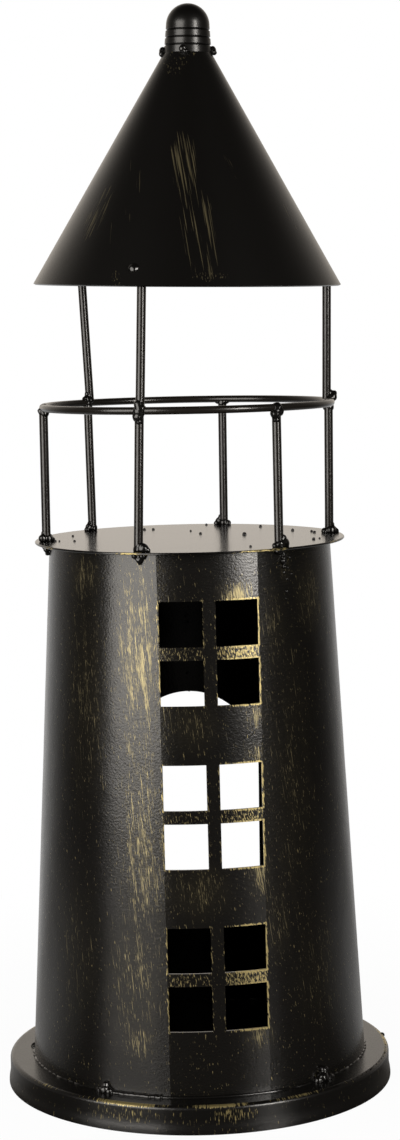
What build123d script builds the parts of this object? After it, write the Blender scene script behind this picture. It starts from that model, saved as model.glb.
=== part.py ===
from build123d import *
import os
from math import asin, atan2, cos, degrees, radians, sin, tan

# Lighthouse lantern ornament in lacquered sheet steel and steel rod, welded by hand.
# Millimetres, +Z up, origin on the floor at the middle of the base. The windows face -Y, and every
# angle round the tower is in degrees from that side, positive towards +X.

# Sheet and wire gauges
base_sheet = 1.0
tower_sheet = 1.0
plate_sheet = 1.0
roof_sheet = 1.0
rod_diameter = 3.8
rail_wire = 3.2

# Base pan
base_diameter = 170.0
base_height = 12.0
base_bend_radius = 0.8
base_flare = 0.7
base_flare_height = 6.0

# Tower, tapering from the ledge left on the base to the gallery plate
base_ledge = 11.4
tower_narrowing = 12.4
tower_height = 227.0

# Windows: each has two by two panes
window_count = 3
window_spacing = 68.0
window_sill = 27.6
pane_width = 18.0
pane_height = 19.0
glazing_bar = 5.5

# Strip that the panes are pressed in, flatter than the rest and creased where it meets it
strip_margin = 0.4
strip_crease = 4.0

# Doorway at the back, with a round arch
doorway_angle = 175.0
doorway_sill = 50.0
doorway_width = 64.0
doorway_height = 100.0

# Gallery and lantern
plate_overhang = 6.3
plate_edge_break = 0.3
post_inset = 5.0
rail_height = 58.0
lantern_height = 52.1
cope_depth = 0.6

# Angles of each rod's foot and head; the rods were set by hand, so they are uneven and lean a little
baluster_angles = {
    "front_left": (-26.8, -25.2),
    "front_right": (29.6, 29.3),
    "left": (-91.5, -89.5),
    "right": (92.5, 90.5),
    "back_left": (-142.0, -141.0),
    "back_right": (158.3, 158.1),
}
lantern_post_angles = {
    "front_left": (-24.9, -23.2),
    "back_left": (-142.3, -139.4),
    "right": (94.0, 91.0),
}

# Roof cone, which leans with its cap
roof_overhang = 3.8
roof_half_angle = 29.85
roof_tip_diameter = 6.0
roof_lean = 1.85
roof_lean_angle = 35.0

# Finial cap: grooved bands under a dome
cap_foot_diameter = 20.4
cap_dome_diameter = 18.6
cap_band_count = 3
cap_band_height = 3.2
cap_groove_depth = 0.5
cap_dome_rise = 1.9
cap_wall = 1.6

# Weld metal
foot_weld_radius = 2.6
foot_lump_radius = 1.9
tack_offset = 0.8
foot_weld_angles = (-100.0, -44.0, 42.0, 99.0, 152.0, -156.0)
gallery_weld_radius = 3.2
post_weld_throat = 1.0
post_weld_side = 0.6
roof_weld_throat = 1.4
cap_weld_radius = 2.0
cap_weld_angles = (-97.0, -18.0, 83.0)
seam_bead_radius = 2.0
seam_bead_height = 0.5

# Radii and heights that follow from the sizes above
base_radius = base_diameter / 2
skirt_radius = base_radius - base_flare
base_edge_radius = base_bend_radius + base_sheet
tower_foot_radius = base_radius - base_ledge
tower_top_radius = tower_foot_radius - tower_narrowing
tower_top = base_height + tower_height
tower_taper = atan2(tower_narrowing, tower_height)
tower_wall = tower_sheet / cos(tower_taper)
tower_ends = ((tower_foot_radius, base_height), (tower_top_radius, tower_top))
strip_half = pane_width + glazing_bar / 2 + strip_margin
plate_radius = tower_top_radius + plate_overhang
plate_top = tower_top + plate_sheet
rod_radius = rod_diameter / 2
rail_radius = rail_wire / 2
post_circle = plate_radius - post_inset
rail_middle = plate_top + rail_height

# Radii and heights of the roof and its cap, whose heights go up their own axis from the middle of the ring
roof_radius = post_circle + roof_overhang
roof_slope = tan(radians(roof_half_angle))
roof_apex = lantern_height + roof_radius / roof_slope
roof_inner_apex = roof_apex - roof_sheet / sin(radians(roof_half_angle))
roof_tip_radius = roof_tip_diameter / 2
cap_foot_radius = cap_foot_diameter / 2
cap_dome_radius = cap_dome_diameter / 2
cap_foot = roof_apex - cap_foot_radius / roof_slope
cap_dome_middle = cap_foot + cap_band_count * cap_band_height + cap_dome_rise

os.makedirs("parts", exist_ok=True)


def polar(radius, angle, height):
    """Point at a radius and a height, at an angle round the tower."""
    turn = radians(angle)
    return Vector(radius * sin(turn), -radius * cos(turn), height)


def seat(radius, angle, height):
    """Level place at such a point, turned so that its X axis points to the tower's middle."""
    return Location(Plane(origin=polar(radius, angle, height), x_dir=-polar(1, angle, 0)))


def finish(built, name):
    """Label a finished piece and write it."""
    built.part.label = name
    export_step(built.part, f"parts/{name}.step")


# Base pan: one pressed sheet with a rounded edge and a skirt that flares at the floor
with BuildPart() as base_pan:
    with BuildSketch(Plane.XZ):
        with BuildLine():
            ledge = Line((0, base_height), (skirt_radius - base_edge_radius, base_height))
            edge = TangentArc(
                ledge @ 1, (skirt_radius, base_height - base_edge_radius), tangent=ledge % 1
            )
            skirt = Line(edge @ 1, (skirt_radius, base_flare_height))
            flare_middle = ((skirt_radius + base_radius) / 2, base_flare_height / 2)
            flare = TangentArc(skirt @ 1, flare_middle, tangent=skirt % 1)
            TangentArc(flare @ 1, (base_radius, 0), tangent=flare % 1)
            offset(amount=base_sheet, side=Side.RIGHT)
        make_face()
    revolve(axis=Axis.Z)
finish(base_pan, "base_pan")


# Two spaces with the tower's outline, round but for the flatter window strip in front: the core is filled
# to the sheet's outer face and trims the welds against it, and the room is what the sheet goes round
tower_spaces = {}
for space, inset in {"core": 0, "room": tower_wall}.items():
    with BuildPart() as tower_space:
        for end_radius, height in tower_ends:
            radius = end_radius - inset
            wall_start = degrees(asin(strip_half / radius))
            with BuildSketch(Plane.XY.offset(height)):
                with BuildLine():
                    wall = CenterArc((0, 0), radius, wall_start - 90, 360 - 2 * wall_start)
                    strip_rise = strip_half * tan(radians(wall_start - strip_crease) / 2)
                    strip_front = -radius * cos(radians(wall_start)) - strip_rise
                    ThreePointArc(wall @ 1, (0, strip_front), wall @ 0)
                make_face()
        loft(ruled=True)
    tower_spaces[space] = tower_space.part

# Doorway outline, square to the tower's axis
doorway_out = polar(1, doorway_angle, 0)
doorway_plane = Plane(
    origin=(0, 0, base_height + doorway_sill),
    x_dir=Vector(0, 0, 1).cross(doorway_out),
    z_dir=doorway_out,
)
doorway_half = doorway_width / 2
doorway_spring = doorway_height - doorway_half
with BuildSketch(doorway_plane) as doorway:
    with BuildLine():
        jamb = Line((doorway_half, 0), (doorway_half, doorway_spring))
        arch = ThreePointArc(jamb @ 1, (0, doorway_height), (-doorway_half, doorway_spring))
        Polyline(arch @ 1, (-doorway_half, 0), jamb @ 0)
    make_face()

# Tower shell: a rolled sheet with panes pierced in front and the doorway behind
window_height = 2 * pane_height + glazing_bar
middle_window = base_height + window_sill + window_height / 2 + (window_count - 1) * window_spacing / 2
with BuildPart() as tower_shell:
    add(tower_spaces["core"])
    add(tower_spaces["room"], mode=Mode.SUBTRACT)
    with BuildSketch(Plane.XZ):
        with Locations((0, middle_window)):
            with GridLocations(0, window_spacing, 1, window_count):
                with GridLocations(pane_width + glazing_bar, pane_height + glazing_bar, 2, 2):
                    Rectangle(pane_width, pane_height)
    extrude(amount=tower_foot_radius, mode=Mode.SUBTRACT)
    extrude(doorway.sketch, amount=tower_foot_radius, mode=Mode.SUBTRACT)
finish(tower_shell, "tower_shell")


# Gallery plate: a disc that lies on the tower's upper edge
with BuildPart() as gallery_plate:
    with BuildSketch(Plane.XY.offset(tower_top)):
        Circle(plate_radius)
    extrude(amount=plate_sheet)
    chamfer(gallery_plate.edges().filter_by(GeomType.CIRCLE), min(plate_edge_break, plate_sheet / 3))
finish(gallery_plate, "gallery_plate")


# Rail ring: a hoop of wire that lies on the balusters
with BuildPart() as rail_ring:
    with BuildSketch(Plane.XZ):
        with Locations((post_circle, rail_middle)):
            Circle(rail_radius)
    revolve(axis=Axis.Z)
finish(rail_ring, "rail_ring")


# Balusters: rods from the plate to the ring, cut flat at the foot and coped where the ring lies in them
rod_end = rail_radius - cope_depth
balusters = {}
for place, (foot_angle, head_angle) in baluster_angles.items():
    foot = polar(post_circle, foot_angle, plate_top)
    along = polar(post_circle, head_angle, rail_middle) - foot
    with BuildPart() as baluster:
        with BuildSketch(Plane(origin=foot, z_dir=along).offset(-rod_radius)):
            Circle(rod_radius)
        extrude(amount=rod_radius + along.length - rod_end)
        split(bisect_by=Plane.XY.offset(plate_top), keep=Keep.TOP)
        add(rail_ring.part, mode=Mode.SUBTRACT)
    balusters[place] = baluster
    finish(baluster, f"baluster_{place}")


# Axes that the roof leans with: its own up and side, and the planes of its plan and its profile
roof_up = polar(sin(radians(roof_lean)), roof_lean_angle, cos(radians(roof_lean)))
roof_side = Vector(0, 1, 0).cross(roof_up)
ring_middle = Vector(0, 0, rail_middle)
roof_axis = Axis(ring_middle, roof_up)
roof_plan = Plane(ring_middle, x_dir=roof_side, z_dir=roof_up)
roof_profile = Plane(ring_middle, x_dir=roof_side, z_dir=roof_side.cross(roof_up))

# Roof cone: a rolled sheet, cut square at the rim and open at the hidden tip
with BuildPart() as roof_cone:
    with BuildSketch(roof_profile):
        with BuildLine():
            Line(
                (roof_radius, lantern_height),
                (roof_tip_radius, roof_apex - roof_tip_radius / roof_slope),
            )
            offset(amount=roof_sheet, side=Side.LEFT)
        make_face()
    revolve(axis=roof_axis)
finish(roof_cone, "roof_cone")

# Two spaces with the roof's outline, carried down past the ring: the core is filled to the cone's outer
# face and trims what stands on it, and the room under its inner face trims what stands in it
roof_spaces = {}
for space, apex in {"core": roof_apex, "room": roof_inner_apex}.items():
    with BuildPart() as roof_space:
        with BuildSketch(roof_profile):
            with BuildLine():
                Polyline(
                    (0, -lantern_height),
                    ((apex + lantern_height) * roof_slope, -lantern_height),
                    (0, apex),
                    close=True,
                )
            make_face()
        revolve(axis=roof_axis)
    roof_spaces[space] = roof_space.part


# Lantern posts: rods that stand on the ring and end against the cone's inner face
lantern_posts = {}
for place, (foot_angle, head_angle) in lantern_post_angles.items():
    foot = polar(post_circle, foot_angle, rail_middle)
    along = polar(post_circle, head_angle, rail_middle + lantern_height) - foot
    with BuildPart() as lantern_post:
        with BuildSketch(Plane(origin=foot, z_dir=along).offset(rod_end)):
            Circle(rod_radius)
        extrude(amount=2 * lantern_height)
        add(roof_spaces["room"], mode=Mode.INTERSECT)
        add(rail_ring.part, mode=Mode.SUBTRACT)
    lantern_posts[place] = lantern_post
    finish(lantern_post, f"lantern_post_{place}")


# Finial cap: the outer form, with a groove under each band
cap_taper = (cap_foot_radius - cap_dome_radius) / (cap_dome_middle - cap_foot)
with BuildPart() as cap_body:
    with BuildSketch(roof_profile):
        with BuildLine():
            flank = Polyline(
                (0, cap_foot), (cap_foot_radius, cap_foot), (cap_dome_radius, cap_dome_middle)
            )
            dome = CenterArc((0, cap_dome_middle), cap_dome_radius, 0, 90)
            Line(dome @ 1, flank @ 0)
        make_face()
        for band in range(1, cap_band_count + 1):
            rise = band * cap_band_height
            with Locations((cap_foot_radius - cap_taper * rise, cap_foot + rise)):
                RegularPolygon(cap_groove_depth, side_count=4, mode=Mode.SUBTRACT)
    revolve(axis=roof_axis)

# Finial cap: hollow, and trimmed to sit on the cone
cap_hollow_radius = cap_dome_radius - cap_groove_depth - cap_wall
with BuildPart() as finial_cap:
    add(cap_body.part)
    with BuildSketch(roof_profile):
        with BuildLine():
            hollow_side = Polyline(
                (0, cap_foot), (cap_hollow_radius, cap_foot), (cap_hollow_radius, cap_dome_middle)
            )
            hollow_dome = CenterArc((0, cap_dome_middle), cap_hollow_radius, 0, 90)
            Line(hollow_dome @ 1, hollow_side @ 0)
        make_face()
    revolve(axis=roof_axis, mode=Mode.SUBTRACT)
    add(roof_spaces["core"], mode=Mode.SUBTRACT)
finish(finial_cap, "finial_cap")


# Foot tacks: two lumps each, in the corner between the tower and the ledge
foot_tack_circle = tower_foot_radius + tack_offset
lump_step = degrees(foot_weld_radius / foot_tack_circle)
with BuildPart() as foot_tacks:
    for angle in foot_weld_angles:
        with Locations(seat(foot_tack_circle, angle, base_height)):
            Sphere(foot_weld_radius, arc_size1=0, align=None)
        with Locations(seat(foot_tack_circle, angle + lump_step, base_height)):
            Sphere(foot_lump_radius, arc_size1=0, align=None)
    add(tower_spaces["core"], mode=Mode.SUBTRACT)
finish(foot_tacks, "foot_tacks")


# Gallery tacks: one under the plate at each baluster
with BuildPart() as gallery_tacks:
    for foot_angle, head_angle in baluster_angles.values():
        with Locations(seat(tower_top_radius + tack_offset, foot_angle, tower_top)):
            Sphere(gallery_weld_radius, arc_size2=0, align=None)
    add(tower_spaces["core"], mode=Mode.SUBTRACT)
finish(gallery_tacks, "gallery_tacks")


# Baluster foot welds: a lump round each foot, fuller on one side
post_weld_radius = rod_radius + post_weld_throat
weld_turn = degrees(post_weld_side / post_circle)
with BuildPart() as baluster_foot_welds:
    for foot_angle, head_angle in baluster_angles.values():
        with Locations(seat(post_circle, foot_angle + weld_turn, plate_top)):
            Sphere(post_weld_radius, arc_size1=0, align=None)
    for baluster in balusters.values():
        add(baluster.part, mode=Mode.SUBTRACT)
finish(baluster_foot_welds, "baluster_foot_welds")


# Rail welds: a lump round each baluster's head, below the middle of the ring
with BuildPart() as rail_welds:
    for foot_angle, head_angle in baluster_angles.values():
        with Locations(seat(post_circle, head_angle, rail_middle - rail_radius)):
            Sphere(post_weld_radius)
    add(rail_ring.part, mode=Mode.SUBTRACT)
    for baluster in balusters.values():
        add(baluster.part, mode=Mode.SUBTRACT)
    split(bisect_by=Plane.XY.offset(rail_middle), keep=Keep.BOTTOM)
finish(rail_welds, "rail_welds")


# Lantern post welds: a lump round each post's foot, above the middle of the ring
with BuildPart() as lantern_post_welds:
    for foot_angle, head_angle in lantern_post_angles.values():
        with Locations(seat(post_circle, foot_angle, rail_middle + rail_radius)):
            Sphere(post_weld_radius)
    add(rail_ring.part, mode=Mode.SUBTRACT)
    for lantern_post in lantern_posts.values():
        add(lantern_post.part, mode=Mode.SUBTRACT)
    split(bisect_by=Plane.XY.offset(rail_middle), keep=Keep.TOP)
finish(lantern_post_welds, "lantern_post_welds")


# Roof post welds: a lump round each post's head, inside the cone
with BuildPart() as roof_post_welds:
    for lantern_post in lantern_posts.values():
        with Locations(lantern_post.faces().sort_by(Axis.Z)[-1].center()):
            Sphere(rod_radius + roof_weld_throat)
    add(roof_spaces["room"], mode=Mode.INTERSECT)
    for lantern_post in lantern_posts.values():
        add(lantern_post.part, mode=Mode.SUBTRACT)
finish(roof_post_welds, "roof_post_welds")


# Finial welds: lumps in the corner between the cap and the cone
with BuildPart() as finial_welds:
    for angle in cap_weld_angles:
        with Locations(roof_plan.location * seat(cap_foot_radius, angle, cap_foot)):
            Sphere(cap_weld_radius)
    add(roof_spaces["core"], mode=Mode.SUBTRACT)
    add(cap_body.part, mode=Mode.SUBTRACT)
finish(finial_welds, "finial_welds")


# Tower seam: a low bead where the rolled sheet closes, above and below the doorway
bead_depth = seam_bead_radius - seam_bead_height
seam_foot = polar(tower_foot_radius, doorway_angle, base_height)
seam_head = polar(tower_top_radius, doorway_angle, tower_top)
seam_run = seam_head - seam_foot
seam_overrun = seam_run.normalized() * seam_bead_radius
seam_start = seam_foot - doorway_out * bead_depth - seam_overrun
with BuildPart() as tower_seam_weld:
    with BuildSketch(Plane(origin=seam_start, z_dir=seam_run)):
        Circle(seam_bead_radius)
    extrude(amount=seam_run.length + 2 * seam_overrun.length)
    split(bisect_by=Plane.XY.offset(base_height), keep=Keep.TOP)
    split(bisect_by=Plane.XY.offset(tower_top), keep=Keep.BOTTOM)
    add(tower_spaces["core"], mode=Mode.SUBTRACT)
    extrude(doorway.sketch, amount=base_radius, mode=Mode.SUBTRACT)
    add(foot_tacks.part, mode=Mode.SUBTRACT)
    add(gallery_tacks.part, mode=Mode.SUBTRACT)
finish(tower_seam_weld, "tower_seam_weld")


# Roof seam: a low bead where the rolled cone closes, from the rim to the cap
bead_in = bead_depth * cos(radians(roof_half_angle))
bead_down = bead_depth * sin(radians(roof_half_angle))
rim_point = polar(roof_radius - bead_in, doorway_angle, lantern_height - bead_down)
cap_point = polar(cap_foot_radius - bead_in, doorway_angle, cap_foot - bead_down)
roof_seam_start = roof_plan.from_local_coords(rim_point)
roof_run = roof_plan.from_local_coords(cap_point) - roof_seam_start
with BuildPart() as roof_seam_weld:
    with BuildSketch(Plane(origin=roof_seam_start, z_dir=roof_run)):
        Circle(seam_bead_radius)
    extrude(amount=roof_run.length + cap_band_height)
    add(roof_spaces["core"], mode=Mode.SUBTRACT)
    add(cap_body.part, mode=Mode.SUBTRACT)
    add(finial_welds.part, mode=Mode.SUBTRACT)
finish(roof_seam_weld, "roof_seam_weld")

cap_top = roof_plan.from_local_coords(Vector(0, 0, cap_dome_middle)).Z + cap_dome_radius
print("height", round(cap_top, 2), "width", base_diameter)
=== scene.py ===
# %% [markdown]
# # A lighthouse lantern in black lacquer
# This lesson dresses a welded garden lantern shaped like a lighthouse: a pressed pan for a base, a tower
# of rolled sheet, a gallery with a wire rail, and a cone for a roof. The construction is already there as
# a fixed frame, in metres, with the tower's axis on Z and the windows facing -Y. We only give it its
# finish: lacquer, brushed gold, and the rough weld metal that the solids show as plain lumps.

from math import atan2, cos, degrees, hypot, inf, pi, radians, sin

import bmesh
import bpy
from mathutils import Matrix, Vector, noise


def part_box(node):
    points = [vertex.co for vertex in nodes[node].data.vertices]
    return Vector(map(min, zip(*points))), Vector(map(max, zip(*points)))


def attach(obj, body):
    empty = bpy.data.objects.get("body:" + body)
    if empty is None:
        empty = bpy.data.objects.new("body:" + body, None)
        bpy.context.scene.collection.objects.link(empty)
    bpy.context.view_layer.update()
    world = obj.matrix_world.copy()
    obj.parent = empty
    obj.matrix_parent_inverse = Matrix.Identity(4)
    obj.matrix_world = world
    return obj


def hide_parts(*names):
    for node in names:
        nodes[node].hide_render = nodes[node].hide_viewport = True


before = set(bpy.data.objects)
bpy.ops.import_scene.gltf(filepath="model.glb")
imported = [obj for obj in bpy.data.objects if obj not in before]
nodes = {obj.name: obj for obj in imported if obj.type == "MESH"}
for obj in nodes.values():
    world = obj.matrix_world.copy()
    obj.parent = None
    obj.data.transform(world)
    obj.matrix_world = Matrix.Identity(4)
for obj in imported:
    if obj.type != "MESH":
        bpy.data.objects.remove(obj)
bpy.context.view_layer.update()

# %% [markdown]
# ## Measures taken from the frame
# Paint and weld metal have to sit on the construction. Its main radii and heights can be read off the
# loaded solids, so the lesson measures them once, in millimetres, and works in millimetres from then on. A
# brush stroke is easier to think about as 4 mm than as 0.004 m.

# %% Measure the pieces
MM = 0.001
SAME_LEVEL = 0.01


def top_of(node):
    """Height of a node's highest point, in mm."""
    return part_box(node)[1].z / MM


def reach_at(node, height):
    """Largest distance from the axis that a node's points have at a height, all in mm."""
    points = [v.co / MM for v in nodes[node].data.vertices]
    return max(hypot(p.x, p.y) for p in points if abs(p.z - height) < SAME_LEVEL)


base_top = top_of("base_pan")
base_radius = reach_at("base_pan", 0)
tower_top = top_of("tower_shell")
tower_foot_radius = reach_at("tower_shell", base_top)
tower_top_radius = reach_at("tower_shell", tower_top)
plate_top = top_of("gallery_plate")
plate_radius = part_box("gallery_plate")[1].x / MM
rail_top = top_of("rail_ring")
rail_radius = (rail_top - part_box("rail_ring")[0].z / MM) / 2
rail_middle = rail_top - rail_radius
post_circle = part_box("rail_ring")[1].x / MM - rail_radius
print("tower from", round(tower_foot_radius, 1), "to", round(tower_top_radius, 1), "mm radius,",
      "plate", round(plate_radius, 1), "rail at", round(rail_middle, 1))

# %% [markdown]
# ## The camera
# The reference view is a product photograph taken with a long lens, a little above the gallery and a few
# degrees to the left of the windows. Blender could frame the object by itself, but a camera with a known
# place lets us compare the two pictures point by point. We build its axes one turn at a time, which is
# clearer than three Euler angles whose order has to be remembered. Lengths are in mm, angles in degrees.

# %% Set up the camera
PHOTO_HEIGHT = 1140
FOCAL_PIXELS = 2415.7
SENSOR = 36
CAMERA_DISTANCE, CAMERA_HEIGHT = 1051.6, 337.6
CAMERA_ANGLE = -6.9
AIM_RIGHT, AIM_DOWN, AIM_ROLL = -0.233, 6.08, 1.10

scene = bpy.context.scene
camera_data = bpy.data.cameras.new("photo_camera")
camera_data.sensor_width = SENSOR
camera_data.lens = FOCAL_PIXELS * SENSOR / PHOTO_HEIGHT
camera = bpy.data.objects.new("photo_camera", camera_data)
scene.collection.objects.link(camera)
scene.camera = camera

level = Matrix.Rotation(radians(90), 4, "X")
turn = Matrix.Rotation(radians(CAMERA_ANGLE), 4, "Z")
aim = (Matrix.Rotation(radians(AIM_RIGHT), 4, "Y") @ Matrix.Rotation(radians(-AIM_DOWN), 4, "X")
       @ Matrix.Rotation(radians(-AIM_ROLL), 4, "Z"))
stand = Matrix.Translation(Vector((0, -CAMERA_DISTANCE, CAMERA_HEIGHT)) * MM)
camera.matrix_world = turn @ stand @ level @ aim
print("camera at", [round(v, 3) for v in camera.matrix_world.translation],
      "lens", round(camera_data.lens, 2))

# %% [markdown]
# ## Colours and nodes
# Paint colours are written as people write them, as sRGB hex values, and turned to linear light by one
# function because shaders add light in linear numbers. A second helper adds one node, fills its sockets
# with values or links, and hands back an output, so that a material reads as a list of steps.

# %% Helpers for materials


def linear(hex_colour):
    """Linear colour with alpha from an sRGB hex value such as #c8a44a."""
    parts = [int(hex_colour[i:i + 2], 16) / 255 for i in (1, 3, 5)]
    return tuple(c / 12.92 if c <= 0.04045 else ((c + 0.055) / 1.055) ** 2.4 for c in parts) + (1.0,)


def add(tree, kind, inputs=(), out=0, **settings):
    """Add a shader node with its options, fill its sockets in order or by name, and return an output."""
    made = tree.nodes.new("ShaderNode" + kind)
    for name, value in settings.items():
        setattr(made, name, value)
    for name, value in inputs.items() if isinstance(inputs, dict) else enumerate(inputs):
        if isinstance(value, bpy.types.NodeSocket):
            tree.links.new(value, made.inputs[name])
        else:
            made.inputs[name].default_value = value
    return made.outputs[out] if len(made.outputs) else made


def new_tree(owner):
    """Empty node tree of a material, a lamp or the world."""
    owner.use_nodes = True
    owner.node_tree.nodes.clear()
    return owner.node_tree


print("gold in linear light:", [round(c, 3) for c in linear("#c8a44a")])

# %% [markdown]
# ## The room
# A broad soft box on the left and a narrow one on the right lit the photograph, with a warm white sweep
# behind the object and a dim room behind the camera. Black lacquer has almost no colour of its own: what
# we see on it is that room. The world stands for all of it but the lamps. To the camera it is plain white,
# and so it is to polished surfaces where they look back at the sweep, while all else stays dim.

# %% Set the room
scene.view_settings.view_transform = "Standard"
WHITE = (1.0, 1.0, 1.0, 1.0)
WARM_SWEEP = linear("#fff5e8")
SWEEP_FALLOFF = 2.5
DIM_ROOM = 0.06
CEILING_FROM, CEILING_FULL, CEILING_SHARE = 0.4, 0.9, 0.15


def to_eye(tree):
    """1 on rays that reach the camera straight or through glass, 0 on all others."""
    straight = add(tree, "LightPath", out="Is Camera Ray")
    through_glass = add(tree, "LightPath", out="Is Transmission Ray")
    return add(tree, "Math", [straight, through_glass], operation="MAXIMUM")


def towards_back(tree, direction, falloff):
    """Share that grows from 0 beside the object to 1 straight behind it."""
    backwards = add(tree, "SeparateXYZ", [direction], out="Y")
    behind = add(tree, "Math", [backwards, 0.0], operation="MAXIMUM")
    return add(tree, "Math", [behind, falloff], operation="POWER")


world = bpy.data.worlds.new("studio")
scene.world = world
tree = new_tree(world)
direction = add(tree, "TexCoord", out="Generated")
upwards = add(tree, "SeparateXYZ", [direction], out="Z")
below_ceiling = add(tree, "MapRange", {"Value": upwards, "From Min": CEILING_FULL, "From Max": CEILING_FROM,
                                       "To Min": CEILING_SHARE}, interpolation_type="SMOOTHSTEP")
polished = add(tree, "LightPath", out="Is Glossy Ray")
sweep = towards_back(tree, direction, SWEEP_FALLOFF)
to_polish = add(tree, "Math", [polished, sweep], operation="MULTIPLY")
room = add(tree, "Mix", {0: to_polish, 2: DIM_ROOM, 3: 1.0})
room = add(tree, "Math", [room, below_ceiling], operation="MULTIPLY")
seen = to_eye(tree)
brightness = add(tree, "Mix", {0: seen, 2: room, 3: 1.0})
tint = add(tree, "Mix", {0: seen, 6: WARM_SWEEP, 7: WHITE}, out=2, data_type="RGBA")
background = add(tree, "Background", {"Color": tint, "Strength": brightness})
add(tree, "OutputWorld", {"Surface": background})
print("room at", DIM_ROOM, "of the sweep's light, ceiling at", CEILING_SHARE, "of that")

# %% [markdown]
# ## The soft boxes
# A soft box is a lit sheet of cloth, and an area lamp is just that. Its picture on the lacquer is the long
# pale band that shows how round the tower is. The left box is as bright all over. The right one fades to
# nothing at its inner edge, as a box that is turned away does. The energy follows from the radiance and
# the area, so a box can be resized without changing how bright it looks.

# %% Hang the soft boxes
WARM_BOX = linear("#fffaf3")


def soft_box(name, angle, distance, low, high, width, radiance, inner_share=1.0):
    """Upright area lamp at an angle round the tower, in metres, dimmer at its inner edge by a share."""
    lamp = bpy.data.lights.new(name, "AREA")
    lamp.shape = "RECTANGLE"
    lamp.size = width
    lamp.size_y = high - low
    lamp.energy = radiance * pi * lamp.size * lamp.size_y
    tree = new_tree(lamp)
    over_width = add(tree, "SeparateXYZ", [add(tree, "NewGeometry", out="Parametric")], out="X")
    fade = add(tree, "MapRange", {"Value": over_width, "To Min": inner_share})
    glow = add(tree, "Emission", {"Color": WARM_BOX, "Strength": fade})
    add(tree, "OutputLight", {"Surface": glow})
    hung = bpy.data.objects.new(name, lamp)
    scene.collection.objects.link(hung)
    hung.location = (distance * sin(radians(angle)), -distance * cos(radians(angle)), (low + high) / 2)
    hung.rotation_euler = (radians(90), 0, radians(angle))
    hung.visible_camera = False
    print(name, round(lamp.energy, 2), "W over", round(lamp.size, 2), "by", round(lamp.size_y, 2), "m")


soft_box("left_soft_box", angle=-50, distance=0.95, low=0.05, high=0.85, width=0.73, radiance=4.2)
soft_box("right_soft_box", angle=31, distance=1.2, low=0.20, high=0.90, width=0.38, radiance=20.0,
         inner_share=0.0)

# %% [markdown]
# ## The floor
# The object stands on a light-coloured, level surface that the photograph shows as plain white. To the
# camera the floor is therefore white, with a trace of shadow close to the base. To the lacquer it is a
# smooth table top with painted light and shade: painted grey towards the room, a faint painted pool of
# light from each soft box, and white behind the object. One flat face is enough for that, since all the
# difference lies in its material.

# %% Lay the floor
HALF_FLOOR = 6.0
corners = [(-1, -1), (1, -1), (1, 1), (-1, 1)]

floor_mesh = bpy.data.meshes.new("table_top")
floor_mesh.from_pydata([(x * HALF_FLOOR, y * HALF_FLOOR, 0) for x, y in corners], [], [(0, 1, 2, 3)])
floor = bpy.data.objects.new("table_top", floor_mesh)
scene.collection.objects.link(floor)
print("floor reaches", HALF_FLOOR, "m each way")

# %% Paint the floor
# Painted board: nearly no gloss, so it gives the eye an even white and a soft shadow.
PAINTED_SHADE_GREY, PAINTED_LIT_WHITE, PAPER_WHITE = linear("#595755"), linear("#e6e4e1"), linear("#f6f5f3")
FLOOR_FALLOFF = 3.5
BESIDE_FROM, BESIDE_FULL = -0.2, 0.4
LIT_FULL, LIT_ENDS, PAINTED_POOL_SHARE = 0.2, 0.8, 0.35
SHADOW_FROM, SHADOW_ENDS, GLOW_IN_SHADOW = 0.1, 0.35, 0.97
PAINTED_GLOW_IN_POLISH = 0.8

table_top = bpy.data.materials.new("white_studio_table_with_painted_light")
tree = new_tree(table_top)
place = add(tree, "TexCoord", out="Object")
away = add(tree, "VectorMath", [place], out="Value", operation="LENGTH")
direction = add(tree, "VectorMath", [place], operation="NORMALIZE")
backwards = add(tree, "SeparateXYZ", [direction], out="Y")
# Painted light: a faint pool of light from each soft box is painted on the table beside the object and
# fades with distance; white is painted behind it.
beside = add(tree, "MapRange", {"Value": backwards, "From Min": BESIDE_FROM, "From Max": BESIDE_FULL})
near = add(tree, "MapRange", {"Value": away, "From Min": LIT_FULL, "From Max": LIT_ENDS,
                              "To Min": PAINTED_POOL_SHARE, "To Max": 0.0})
painted_pool_of_light = add(tree, "Math", [beside, near], operation="MULTIPLY")
at_back = towards_back(tree, direction, FLOOR_FALLOFF)
painted_light_share = add(tree, "Math", [at_back, painted_pool_of_light], operation="MAXIMUM")
# Painted light and shade: the table's colour is painted grey towards the room and white where the painted
# light lies.
painted_light_and_shade = add(tree, "Mix", {0: painted_light_share, 6: PAINTED_SHADE_GREY, 7: PAINTED_LIT_WHITE}, out=2, data_type="RGBA")
table = add(tree, "BsdfPrincipled", {"Base Color": painted_light_and_shade, "Roughness": 0.3,
                                     "Specular IOR Level": 0.1})
glow_share = add(tree, "MapRange", {"Value": away, "From Min": SHADOW_FROM, "From Max": SHADOW_ENDS,
                                    "To Min": GLOW_IN_SHADOW})
paper = add(tree, "BsdfDiffuse", {"Color": PAPER_WHITE})
glow = add(tree, "Emission", {"Color": WHITE, "Strength": 1.0})
white = add(tree, "MixShader", [glow_share, paper, glow])
# Painted glow: in reflections the table glows white where the painted light lies, beside and behind the
# object.
polished = add(tree, "LightPath", out="Is Glossy Ray")
to_polish = add(tree, "Math", [polished, PAINTED_GLOW_IN_POLISH], operation="MULTIPLY")
to_polish = add(tree, "Math", [to_polish, painted_light_share], operation="MULTIPLY")
white_share = add(tree, "Math", [to_eye(tree), to_polish], operation="MAXIMUM")
add(tree, "OutputMaterial", {"Surface": add(tree, "MixShader", [white_share, table, white])})
floor_mesh.materials.append(table_top)
print("floor painted with", len(tree.nodes), "nodes")

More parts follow.
